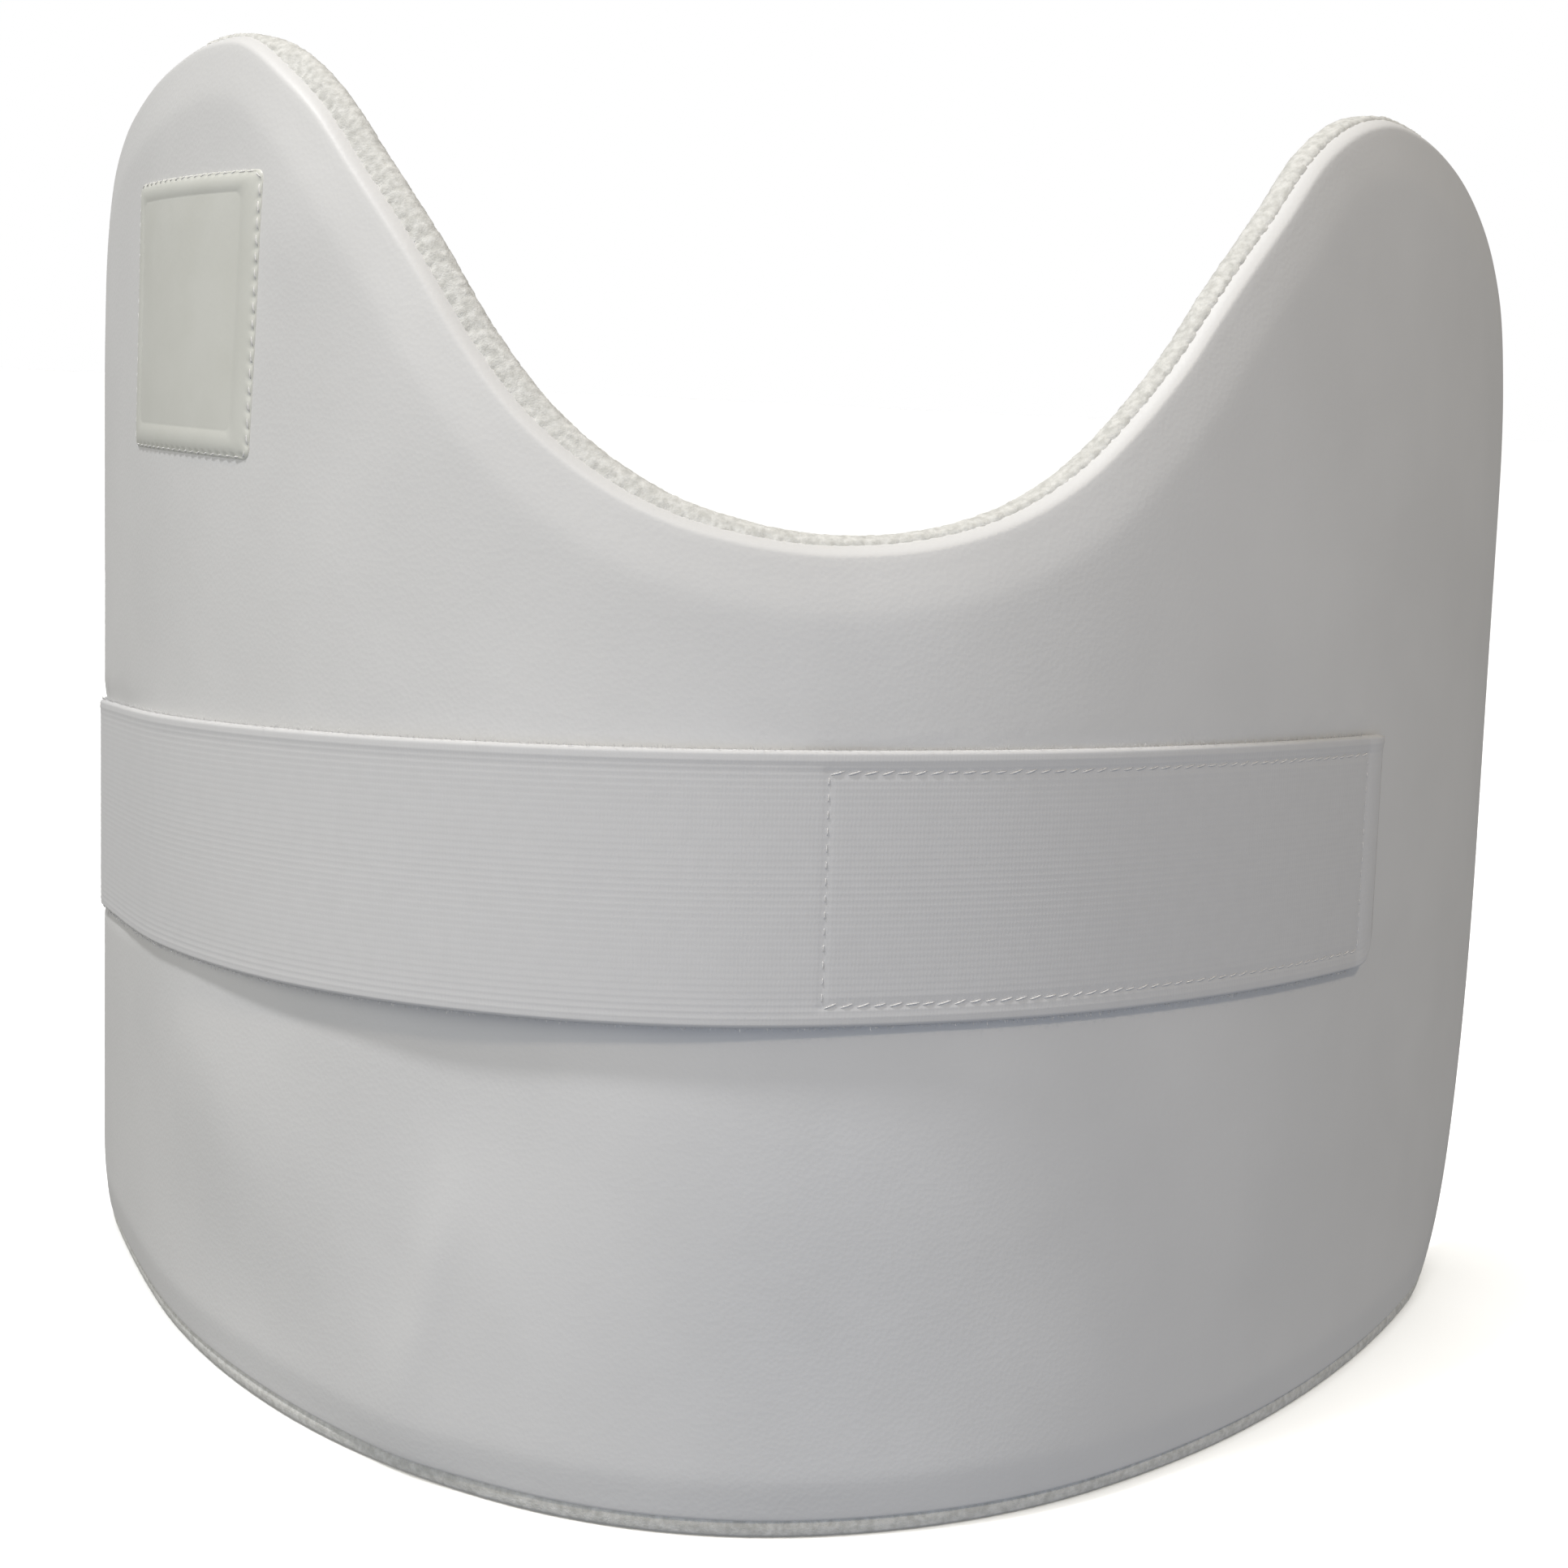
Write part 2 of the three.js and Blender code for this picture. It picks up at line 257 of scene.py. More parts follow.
def tubes(paths, normals, radii, sides):
    # a short closed tube along each path; paths (count, steps, 3), normals (count, 3)
    count, steps = paths.shape[:2]
    tangents = normalised(np.gradient(paths, axis=1))
    across = normalised(np.cross(tangents, normals[:, None]))
    rise = np.cross(across, tangents)
    angles = np.arange(sides) * 2 * math.pi / sides
    spokes = across[:, :, None] * np.cos(angles)[:, None] + rise[:, :, None] * np.sin(angles)[:, None]
    points = paths[:, :, None] + spokes * np.reshape(radii, (1, -1, 1, 1))
    ids = np.arange(count * steps * sides).reshape(count, steps, sides)
    following = np.roll(ids, -1, 2)
    walls = np.stack([ids[:, :-1], following[:, :-1], following[:, 1:], ids[:, 1:]], -1).reshape(-1, 4)
    return points.reshape(-1, 3), [walls, ids[:, 0, ::-1].copy(), ids[:, -1].copy()]


def joined(parts):
    points, faces, used = [], [], 0
    for part, partFaces in parts:
        points.append(part)
        faces += [face + used for face in partFaces]
        used += len(part)
    return np.concatenate(points), faces


def newPiece(name, shape, material, weave=None):
    points, faces = shape
    sizes = np.concatenate([np.full(len(face), face.shape[1]) for face in faces])
    corners = np.concatenate([face.ravel() for face in faces])
    mesh = bpy.data.meshes.new(name)
    mesh.vertices.add(len(points))
    mesh.vertices.foreach_set("co", np.asarray(points, np.float32).ravel())
    mesh.loops.add(len(corners))
    mesh.loops.foreach_set("vertex_index", corners.astype(np.int32))
    mesh.polygons.add(len(sizes))
    mesh.polygons.foreach_set("loop_start", (np.cumsum(sizes) - sizes).astype(np.int32))
    mesh.update(calc_edges=True)
    mesh.validate()
    mesh.shade_smooth()
    if weave is not None:
        layer = mesh.attributes.new("weave", "FLOAT_VECTOR", "POINT")
        layer.data.foreach_set("vector", np.asarray(weave, np.float32).ravel())
    mesh.materials.append(material)
    piece = bpy.data.objects.new(name, mesh)
    bpy.context.scene.collection.objects.link(piece)
    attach(piece, "root")
    print("piece", name, int((sizes - 2).sum()), "triangles")
    return piece


def linear(hexColour):
    values = [int(hexColour[k : k + 2], 16) / 255 for k in (1, 3, 5)]
    return (*(v / 12.92 if v <= 0.04045 else ((v + 0.055) / 1.055) ** 2.4 for v in values), 1)


def addNode(tree, kind, inputs=None, **settings):
    node = tree.nodes.new(kind)
    for key, value in settings.items():
        setattr(node, key, value)
    for key, value in (inputs or {}).items():
        if isinstance(value, bpy.types.NodeSocket):
            tree.links.new(value, node.inputs[key])
        else:
            node.inputs[key].default_value = value
    return node


def perMetre(size):
    return 1 / (size * mm)  # texture scale for a pattern of this size in millimetres


def newMaterial(name, sockets):
    material = bpy.data.materials.new(name)
    material.use_nodes = True
    shader = material.node_tree.nodes["Principled BSDF"]
    for key, value in sockets.items():
        shader.inputs[key].default_value = value
    return material, material.node_tree, shader


def tonedMaterial(name, finish, sockets):
    # a material whose colour drifts between two tones
    material, tree, shader = newMaterial(name, {"Base Color": linear(finish["base"]), **sockets})
    place = addNode(tree, "ShaderNodeTexCoord").outputs["Object"]
    tone = addNode(tree, "ShaderNodeTexNoise", {
        "Vector": place, "Scale": perMetre(finish["toneSize"]), "Detail": finish["detail"]}).outputs["Fac"]
    ramp = addNode(tree, "ShaderNodeValToRGB", {"Fac": tone})
    ends = (0.35, 0.65)  # most of the noise lies between these
    for element, spot, colour in zip(ramp.color_ramp.elements, ends, finish["tones"]):
        element.position, element.color = spot, linear(colour)
    tree.links.new(ramp.outputs["Color"], shader.inputs["Base Color"])
    return material, tree, shader, place, tone


# Leathercloth: polyurethane skin embossed with a fine grain, satin, faintly uneven in tone.
leatherFinish = {
    "base": "#e3e3e2", "tones": ("#e0e0df", "#e5e5e4"), "toneSize": 40, "detail": 3.0, "grain": 0.9,
    "peel": 7}
leather, tree, shader, place, tone = tonedMaterial(
    "polyurethaneLeathercloth", leatherFinish, {"Roughness": 0.48, "IOR": 1.5})
satin = addNode(tree, "ShaderNodeMapRange", {
    "Value": tone, "From Min": 0.3, "From Max": 0.7, "To Min": 0.54, "To Max": 0.44})
tree.links.new(satin.outputs["Result"], shader.inputs["Roughness"])
grain = addNode(tree, "ShaderNodeTexVoronoi", {  # drawn about twice as coarse as the real grain, to show
    "Vector": place, "Scale": perMetre(leatherFinish["grain"])})
peel = addNode(tree, "ShaderNodeTexNoise",
               {"Vector": place, "Scale": perMetre(leatherFinish["peel"]), "Detail": 2.0})
bump = addNode(tree, "ShaderNodeBump",
               {"Height": peel.outputs["Fac"], "Strength": 0.12, "Distance": 0.4 * mm})
bump = addNode(tree, "ShaderNodeBump", {
    "Height": grain.outputs["Distance"], "Strength": 0.22, "Distance": 0.12 * mm,
    "Normal": bump.outputs["Normal"]})
tree.links.new(bump.outputs["Normal"], shader.inputs["Normal"])

# Cotton towelling: matt looped yarn, soft, with a faint pale bloom at its edges.
towellingFinish = {
    # its tones are dimmed a little below the cotton's own off-white: painted shade for the shadow among the
    # loops that the coarse pile doesn't cast
    "base": "#d8d8d4", "tones": ("#cbcbc6", "#e5e5e1"), "toneSize": 1.4, "detail": 4.0, "fibre": 0.35}
towelling, tree, shader, place, _ = tonedMaterial("cottonTowelling", towellingFinish, {
    "Roughness": 0.95, "IOR": 1.53, "Sheen Weight": 0.04, "Sheen Roughness": 0.6})
fibre = addNode(tree, "ShaderNodeTexNoise",
                {"Vector": place, "Scale": perMetre(towellingFinish["fibre"]), "Detail": 2.0})
bump = addNode(tree, "ShaderNodeBump",
               {"Height": fibre.outputs["Fac"], "Strength": 0.5, "Distance": 0.3 * mm})
tree.links.new(bump.outputs["Normal"], shader.inputs["Normal"])

# Woven elastic: polyester over rubber cords, matt, with fine picks across each rib.
elasticFinish = {
    "base": "#d9d9d9", "tones": ("#d8d8d8", "#dadada"), "toneSize": 3, "detail": 5.0, "pick": 0.75}
elastic, tree, shader, _, _ = tonedMaterial("wovenElastic", elasticFinish, {
    "Roughness": 0.85, "IOR": 1.5, "Sheen Weight": 0.12, "Sheen Roughness": 0.5})
weave = addNode(tree, "ShaderNodeAttribute", attribute_name="weave").outputs["Vector"]
wavesPerUnit = 20 / (2 * math.pi)  # bands of a wave texture at scale 1
picks = addNode(tree, "ShaderNodeTexWave", {
    "Vector": weave, "Scale": 1 / (elasticFinish["pick"] * wavesPerUnit), "Distortion": 4.0,
    "Detail": 3.0, "Detail Scale": 2.0}, bands_direction="X")
bump = addNode(tree, "ShaderNodeBump",
               {"Height": picks.outputs["Fac"], "Strength": 0.12, "Distance": 0.1 * mm})
tree.links.new(bump.outputs["Normal"], shader.inputs["Normal"])

# Moulded badge: soft plasticised vinyl, smoother and a touch glossier than the leathercloth.
badgeFinish = {
    "base": "#dcdcd5", "tones": ("#d9dad2", "#dedfd8"), "toneSize": 18, "detail": 3.0, "peel": 1.4}
vinyl, tree, shader, place, _ = tonedMaterial("mouldedVinyl", badgeFinish, {
    "Roughness": 0.4, "IOR": 1.52})
peel = addNode(tree, "ShaderNodeTexNoise",
               {"Vector": place, "Scale": perMetre(badgeFinish["peel"]), "Detail": 2.0})
bump = addNode(tree, "ShaderNodeBump",
               {"Height": peel.outputs["Fac"], "Strength": 0.2, "Distance": 0.12 * mm})
tree.links.new(bump.outputs["Normal"], shader.inputs["Normal"])

# Sewing thread: twisted polyester, brighter than what it sews.
threadFinish = {"base": "#ecebe9", "tones": ("#e2e1df", "#f1f0ee"), "toneSize": 0.45, "detail": 2.0}
thread, tree, shader, _, ply = tonedMaterial("polyesterThread", threadFinish, {
    "Roughness": 0.6, "IOR": 1.55, "Sheen Weight": 0.1})
bump = addNode(tree, "ShaderNodeBump", {"Height": ply, "Strength": 0.4, "Distance": 0.15 * mm})
tree.links.new(bump.outputs["Normal"], shader.inputs["Normal"])

# Hook tape: stiff nylon monofilament on a woven ground, greyish and slightly shiny.
hookFinish = {"base": "#d7d6d3", "tones": ("#cfcecb", "#dddcd9"), "toneSize": 0.8, "detail": 2.0}
nylon, tree, shader, _, weft = tonedMaterial("nylonHookTape", hookFinish, {
    "Roughness": 0.5, "IOR": 1.53})
bump = addNode(tree, "ShaderNodeBump", {"Height": weft, "Strength": 0.4, "Distance": 0.2 * mm})
tree.links.new(bump.outputs["Normal"], shader.inputs["Normal"])
print("materials ready")

# Foam panel under leathercloth: flat field, soft ridge, bevel, and an edge rolled over the foam's side.
panel = {
    "thickness": 8,
    "roll": (  # in from the towelling, and how far out
        (0, -4.6), (0.1, -4.1), (0.3, -3.45), (0.6, -2.8), (0.95, -2.25), (1.25, -1.9), (1.5, -1.68),
        (1.8, -1.52),
    ),
    "bevel": (  # share of the bevel's width, and how far out
        (0.04, -1.42), (0.2, -1.2), (0.4, -0.92), (0.6, -0.64), (0.76, -0.42), (0.88, -0.28), (0.97, -0.18),
        (1.06, -0.1), (1.17, -0.04), (1.32, 0), (1.6, 0),
    ),
    "hemShare": 0.7,  # the rim drops less at the hem
    "behind": ((0.15, 0, 0.2), (0.5, 0.05, 0), (0.5, 1.6, 0)),  # roll, share of the bevel, off the back
    "dented": (-3, -0.5),  # the dents fade in between these depths
    "swells": (  # height of a soft swell, its place, and its reach across and up
        (1.1, -82, 14, 13, 19), (-1, -67, 74, 20, 22), (1, -140, 62, 32, 20), (-1, -125, 20, 26, 18),
        (0.6, -14, 64, 34, 30), (-0.5, 10, 30, 40, 24), (0.35, 60, 150, 60, 30), (-0.3, 120, 60, 50, 60),
        (0.6, 52, 22, 32, 26), (0.5, -116, 236, 9, 12),
    ),
    "pinch": {  # a soft fold, and the shares of its length where it rises and ends
        "top": (-70, 64), "foot": (-82, 12), "high": 0.6, "reach": 4.5, "rises": (-0.1, 0.4),
        "ends": (0.6, 1.1)},
    "presses": (  # along the strap and up it, softness along and up, and depth
        ((-2, 134.5), (3.5, 46.5), (4, 4), 1.15), ((-280, -205), (1.5, 48.5), (36, 4.5), 0.95),
    ),
}


def leatherRelief(across, up):
    depth = np.zeros_like(across)
    for height, x, y, wide, high in panel["swells"]:
        depth += height * np.exp(-(((across - x) / wide) ** 2) - ((up - y) / high) ** 2)
    pinch = panel["pinch"]
    (topAcross, topUp), (footAcross, footUp) = pinch["top"], pinch["foot"]
    t = (up - footUp) / (topUp - footUp)
    beside = (across - lerp(footAcross, topAcross, t)) / pinch["reach"]
    shown = smooth(t, *pinch["rises"]) * (1 - smooth(t, *pinch["ends"]))
    depth += pinch["high"] * np.exp(-(beside**2)) * shown
    # the foam gives under the hook tape, and where the strap pulls round the left edge
    x, y = planAt(across)[:2]
    height = up - bandLow(x, y)
    for (start, end), (low, high), (softAlong, softUp), by in panel["presses"]:
        hollow = smooth(across, start - softAlong, start) * (1 - smooth(across, end, end + softAlong))
        depth -= by * hollow * smooth(height, low - softUp, low) * (1 - smooth(height, high, high + softUp))
    return depth


rim = outline(wall["columns"], wall["rows"])
lowered = lerp(panel["hemShare"], 1, highness(rim))
rolled = panel["roll"][-1][0]
loops = [insetLoop(rim, rimInset(rim, rolled, share), out * lowered) for share, out in panel["bevel"][::-1]]
loops += [insetLoop(rim, rimInset(rim, roll, 0), out * lowered) for roll, out in panel["roll"][::-1]]
loops += [
    insetLoop(rim, rimInset(rim, roll, share), off - panel["thickness"])
    for roll, share, off in panel["behind"]
]
pattern, faces = stackedSolid(loops, wall["columns"], wall["rows"], wall["crowding"])
front = smooth(pattern[:, 2], *panel["dented"])
pattern[:, 2] += front * leatherRelief(pattern[:, 0], pattern[:, 1])
leatherPanel = newPiece("leather_panel", (onWall(pattern), faces), leather)
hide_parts("chest_panel")

# Towelling behind the panel, turned over the rim; its pile is a piece of its own.
lining = {
    "face": -8.3,
    "back": -10.7,
    "lip": (  # share of the lip's width, further in, how far out, and how much further out at the hem
        (1, 0, -8.3, 0), (1, 0, -5.1, 0.67), (0.9, 0, -4.9, 0.85), (0.7, 0, -5, 1.03), (0.45, 0, -5.3, 1.12),
        (0.22, 0, -5.8, 1.23), (0.06, 0, -6.4, 1.24), (0, 0, -7, 1.15), (0, 0.05, -7.7, 0.88),
        (0, 0.5, -8.5, 0.45), (0, 1.4, -9.4, 0.21), (0, 2.8, -10.1, 0), (0, 4.5, -10.5, 0),
        (0, 6.5, -10.7, 0),
    ),
    "hemRise": 2.95,
    "field": (4, 1),  # the flat field starts this far in: roll, and share of the bevel
    "columns": 120,
    "rows": 48,
    "flat": (0.48, 0.275),
}
gap = 0.3  # between the layers


def lipLoop(loop, share, further, out, rise):
    raisedOut = out + lining["hemRise"] * rise * (1 - highness(loop))
    return insetLoop(loop, share * (lipAt(loop) - gap) + further, raisedOut)


coarseRim = outline(lining["columns"], lining["rows"])
field = rimInset(coarseRim, *lining["field"])
loops = [insetLoop(coarseRim, field, lining["face"])]
loops += [lipLoop(coarseRim, *row) for row in lining["lip"]]
loops += [insetLoop(coarseRim, field, lining["back"])]
pattern, faces = stackedSolid(loops, lining["columns"], lining["rows"], wall["crowding"])
towellingLining = newPiece("towelling_lining", (onWall(pattern), faces), towelling)
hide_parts("lining")

pile = {
    "lip": {
        "points": 3000, "rows": 26, "tuft": 0.8, "high": (0.05, 0.27), "clump": 2.3, "clumpHigh": (0, 0.13),
        "jitter": (0.05, 0.95), "tuftReach": 0.7,  # in cells, the second one squared
        "edge": 0.16, "edgeFrom": 0.6, "edgeReach": 1.6,  # pressed up beside the leather
        "pit": 2.9, "pitDeep": 0.8, "pitSharp": 10,  # and held down by its stitches
        "hemHigh": 0.16, "sink": 0.5, "underRows": (-1, -8, -15, 8, 0),
        "over": (  # the lining's lip from just under the leather to the back
            (1, 1.1, -4.2, 0.7), (1, 0.45, -4.3, 0.75), (0.9, 0, -4.6, 0.96), (0.7, 0, -4.85, 1.06),
            (0.45, 0, -5.2, 1.15), (0.22, 0, -5.7, 1.27), (0.06, 0, -6.3, 1.3), (0, 0, -7, 1.21),
            (0, 0.05, -7.7, 0.94), (0, 0.5, -8.5, 0.5), (0, 1.4, -9.4, 0.27), (0, 2.8, -10.1, 0),
            (0, 4, -10.4, 0),
        ),
    },
    # loops about twice as coarse as real ones
    "back": {
        "spacing": 2.15, "high": (0.6, 1.2), "wide": (1.1, 1.8), "yarn": 0.4, "taper": (0.8, 1.1, 0.8),
        "lean": 0.5, "margin": 6, "highest": 276},
    "floorGap": 0.4,
    "columns": 1000,  # of the fine outline that the loops follow
    "rows": 320,
}

# Over the rim the loops are packed into small round tufts.
size = pile["lip"]
columns, rows = pile["columns"], pile["rows"]
fineRim = outline(columns, rows)
evenRim = evenly(np.concatenate([fineRim, fineRim[:1]]), size["points"])[:-1]
usualLip = 2.5  # turns shares of the lip's width into millimetres
lipCurve = smoothLine([(share * usualLip, further, out, rise) for share, further, out, rise in size["over"]])
lipCurve = evenly(lipCurve, size["rows"] - 1) / (usualLip, 1, 1, 1)
base = onWall(np.stack([lipLoop(evenRim, *row) for row in lipCurve]))
alongRim = np.roll(base, -1, 1) - np.roll(base, 1, 1)
overRim = np.gradient(base, axis=0)
lipNormals = normalised(np.cross(overRim, alongRim))
middle = size["rows"] // 2
rimRun = runOf(np.concatenate([base[middle], base[middle, :1]])) / mm
overRun = np.concatenate([[0], np.cumsum(np.linalg.norm(np.diff(base, axis=0), axis=2).mean(1))]) / mm


def tufts(across, high):
    # packed round tufts in jittered cells
    cellsRound, cellsOver = int(rimRun[-1] / across), int(overRun[-1] / across) + 3
    places = random.uniform(*size["jitter"], (cellsRound, cellsOver, 2))
    heights = random.uniform(*high, (cellsRound, cellsOver))
    s, t = rimRun[:-1] / rimRun[-1] * cellsRound, overRun / across + 1
    cellS, cellT = np.floor(s).astype(int), np.floor(t).astype(int)
    rise = np.zeros((len(t), len(s)))
    for stepS in (-1, 0, 1):
        for stepT in (-1, 0, 1):
            i, j = ((cellS + stepS) % cellsRound)[None, :], np.clip(cellT + stepT, 0, cellsOver - 1)[:, None]
            away = ((cellS + stepS)[None, :] + places[i, j, 0] - s[None, :]) ** 2
            away = away + ((cellT + stepT)[:, None] + places[i, j, 1] - t[:, None]) ** 2
            dome = np.sqrt(np.maximum(0, 1 - away / size["tuftReach"]))
            rise = np.maximum(rise, heights[i, j] * dome)
    return rise


rise = tufts(size["tuft"], size["high"]) + tufts(size["clump"], size["clumpHigh"])
pastEdge = np.maximum(overRun - size["edgeFrom"], 0) / size["edgeReach"]
besideLeather = np.exp(-(pastEdge**2))[:, None]
rise = rise + size["edge"] * besideLeather
pitCount = int(rimRun[-1] / size["pit"])
pits = (0.5 + 0.5 * np.cos(2 * math.pi * pitCount * rimRun[:-1] / rimRun[-1])) ** size["pitSharp"]
rise = rise * (1 - size["pitDeep"] * besideLeather**2 * pits)
rise = rise * lerp(size["hemHigh"], 1, highness(evenRim))
tufted = base + lipNormals * rise[..., None] * mm
tufted[..., 2] = np.maximum(tufted[..., 2], pile["floorGap"] * mm)
underRows = list(size["underRows"])
under = base[underRows] - lipNormals[underRows] * size["sink"] * mm
under[..., 2] = np.maximum(under[..., 2], pile["floorGap"] * mm)
rings = np.concatenate([tufted, under])
ids = np.arange(rings.shape[0] * rings.shape[1]).reshape(rings.shape[:2])
faces = sleeve(np.concatenate([ids, ids[:1]]))
lipPile = newPiece("towelling_pile_lip", (rings.reshape(-1, 3), [faces]), towelling)


def loopPaths(feet, normals, size):
    # small arches of yarn that stand and lean every way
    count = len(feet)
    wide = random.uniform(*size["wide"], (count, 1)) * mm
    high = random.uniform(*size["high"], (count, 1)) * mm
    way = normalised(np.cross(normals, random.normal(size=(count, 3))))
    lean = normalised(np.cross(normals, random.normal(size=(count, 3)))) * high * size["lean"]
    sink = normals * size["yarn"] * mm
    aside = way * wide / 2
    return np.stack([feet - aside - sink, feet + normals * high + lean, feet + aside - sink], 1)


def pilePiece(name, feet, normals, size):
    paths = loopPaths(feet, normals, size)
    clear = paths[:, :, 2].min(1) > (pile["floorGap"] + size["yarn"]) * mm
    paths, normals = paths[clear], normals[clear]
    radii = np.array(size["taper"]) * size["yarn"] * mm
    return newPiece(name, tubes(paths, normals, radii, 3), towelling)


spacing, margin, highest = (pile["back"][key] for key in ("spacing", "margin", "highest"))
places = np.stack(np.meshgrid(np.arange(-halfWidth, halfWidth, spacing), np.arange(0, highest, spacing)), -1)
places = places.reshape(-1, 2) + random.uniform(0, spacing, (places.size // 2, 2))
hemLine = fineRim[: columns + 1]
topLine = fineRim[columns + rows : 2 * columns + rows + 1][::-1]
sideLine = fineRim[columns : columns + rows]
sideReach = np.interp(places[:, 1], sideLine[:, 1], sideLine[:, 0])
inside = (
    (places[:, 1] > np.interp(places[:, 0], hemLine[:, 0], hemLine[:, 1]) + margin)
    & (places[:, 1] < np.interp(places[:, 0], topLine[:, 0], topLine[:, 1]) - margin)
    & (places[:, 0] < np.where(places[:, 1] < topLine[-1, 1], sideReach, halfWidth) - margin)
    & (places[:, 0] > margin - halfWidth)
)
places = places[inside]
heading = planAt(places[:, 0])[2]
normals = normalised(np.stack([-np.sin(heading), np.cos(heading), -np.cos(heading) * tanLean], 1))
feet = onWall(np.column_stack([places, np.full(len(places), lining["back"])]))
backPiles = [
    pilePiece("towelling_pile_" + name, feet[part], normals[part], pile["back"])
    for name, part in (("left", places[:, 0] < 0), ("right", places[:, 0] >= 0))
]

# Elastic strap: sewn inside the right edge, straight across the back, round the left edge to its tip.
strap = {
    "width": 50,
    "thickness": 1.6,
    "standOff": (  # across, and how far off the leather
        (-240, -0.5), (-205, -0.5), (-169, 0.35), (-120, 0.8), (-85, 1.25), (-20, 1.15), (20, 0.4),
        (60, 0.25), (140, 0.25),
    ),
    "sinks": (226, 235.5, 1.8),  # at the left edge: from, to and by how much
    "tip": 139.5,  # across: its free end,
    "leaves": -235.5,  # where it leaves the front,
    "sewn": (190, 229),  # and where it is sewn on inside
    "bend": {"anchor": 6, "rim": 7},  # radii
    "rib": {"pitch": 1.25, "depth": 0.05, "sunk": 0.6, "edgeGain": 1.3, "edgeReach": 5, "points": 3},
    "edge": {"face": 0.4, "round": 0.1, "deep": 0.3},  # where the face ends, and the rounding past it
    "seam": {
        "from": -1, "to": 133.4, "margin": 4, "groove": 0.12, "reach": 0.7, "overrun": 1,
        "pillow": 0.1, "pillowArc": 0.75, "pillowFade": (-12, 6), "tipPillow": 0.6, "tipArc": 0.8},
    "tipTuck": 0.1,  # the free end bends back to the leather
    # thicker upper selvedge, rounded edges
    "roll": {"high": 0.16, "reach": 1.4, "taper": 0.3, "taperReach": 1.2},
    "flare": {"by": 0.75, "reach": 42, "from": -160, "to": 15, "soft": 50},  # lower edge stands off
    "tipCorner": 6.5,
    "sections": {"sewn": 14, "anchor": 14, "back": 50, "rim": 22, "front": 140, "seam": 9, "tip": 16},
    "besideSeam": 2,  # closer sections this far round a seam
}


def bandCentre(across):
    start, end, by = strap["sinks"]
    stand = np.interp(across, *zip(*strap["standOff"]))
    tuck = strap["tipTuck"] * smooth(across, strap["seam"]["to"], strap["tip"])
    return stand - tuck - by * smooth(-np.asarray(across), start, end) + strap["thickness"] / 2


def bandFace(across, height):
    # relief of the strap's face where it is sewn to the hook tape
    seam = strap["seam"]
    low, high = seam["margin"], strap["width"] - seam["margin"]
    over, away = seam["overrun"], strap["width"] * 2
    alongRows = (across > seam["from"] - over) & (across < seam["to"] + over)
    upColumns = (height > low - over) & (height < high + over)
    rows = np.where(alongRows, np.minimum(np.abs(height - low), np.abs(height - high)), away)
    ends = np.where(upColumns, np.minimum(np.abs(across - seam["from"]), np.abs(across - seam["to"])), away)
    relief = -seam["groove"] * np.exp(-((np.minimum(rows, ends) / seam["reach"]) ** 2))
    border = np.maximum(height - high, low - height) / seam["margin"]
    fade = smooth(across, *(seam["from"] + step for step in seam["pillowFade"]))
    past = (across - seam["to"]) / (strap["tip"] - seam["to"])
    pillow = seam["pillow"] * np.sin(np.clip(border, 0, 1) * math.pi * seam["pillowArc"]) * fade
    return relief + pillow + seam["tipPillow"] * np.sin(np.clip(past, 0, 1) * math.pi * seam["tipArc"])


def bandFlare(across, height):
    flare = strap["flare"]
    start, end, soft = flare["from"], flare["to"], flare["soft"]
    reach = smooth(across, start, start + soft) * (1 - smooth(across, end - soft, end))
    return flare["by"] * reach * (1 - smooth(height, -flare["reach"], flare["reach"])) * 2


def selvedge(height):
    roll = strap["roll"]
    top = strap["width"] - height
    return (
        roll["high"] * np.exp(-(((top - roll["reach"]) / roll["reach"]) ** 2))
        - roll["taper"] * np.clip(1 - np.minimum(top, height) / roll["taperReach"], 0, 1) ** 2
    )


def wallRun(across, out):
    x, y, heading = planAt(across)
    return np.stack([*outFrom(x, y, heading, out), heading], 1)


def bendRun(centre, radius, start, end, steps):
    heading = np.linspace(start, end, steps + 1)
    return np.stack([*outFrom(*centre, heading, radius), heading], 1)


def bendCentre(place, radius):
    return place[:2] + radius * np.array([-math.sin(place[2]), math.cos(place[2])])


insideOut = lining["back"] - gap - strap["thickness"] / 2
sections, beside = strap["sections"], strap["besideSeam"]
sewnAcross = np.linspace(*strap["sewn"], sections["sewn"])
frontAcross = np.unique(np.concatenate([
    np.linspace(strap["leaves"], strap["tip"], sections["front"]),
    strap["seam"]["from"] + np.linspace(-beside, beside, sections["seam"]),
    np.linspace(strap["seam"]["to"] - beside, strap["tip"], sections["tip"]),
]))
sewn = wallRun(sewnAcross, insideOut)
onFront = wallRun(frontAcross, bandCentre(frontAcross))
anchorRadius, rimRadius = strap["bend"]["anchor"], strap["bend"]["rim"]
firstCentre, secondCentre = bendCentre(sewn[-1], anchorRadius), bendCentre(onFront[0], rimRadius)
between = secondCentre - firstCentre
straight = math.atan2(between[1], between[0]) % (2 * math.pi) - math.asin(
    (rimRadius - anchorRadius) / np.hypot(*between))
firstBend = bendRun(firstCentre, anchorRadius, sewn[-1, 2], straight, sections["anchor"])
secondBend = bendRun(secondCentre, rimRadius, straight, onFront[0, 2] + 2 * math.pi, sections["rim"])
chord = lerp(firstBend[-1], secondBend[0], np.linspace(0, 1, sections["back"])[1:-1, None])
path = np.concatenate([sewn[:-1], firstBend, chord, secondBend, onFront[1:]])
offFront = -999  # stands for across where the strap isn't on the front
bandAcross = np.concatenate([np.full(len(path) - len(onFront) + 1, offFront), frontAcross[1:]])
bandRun = runOf(path[:, :2])

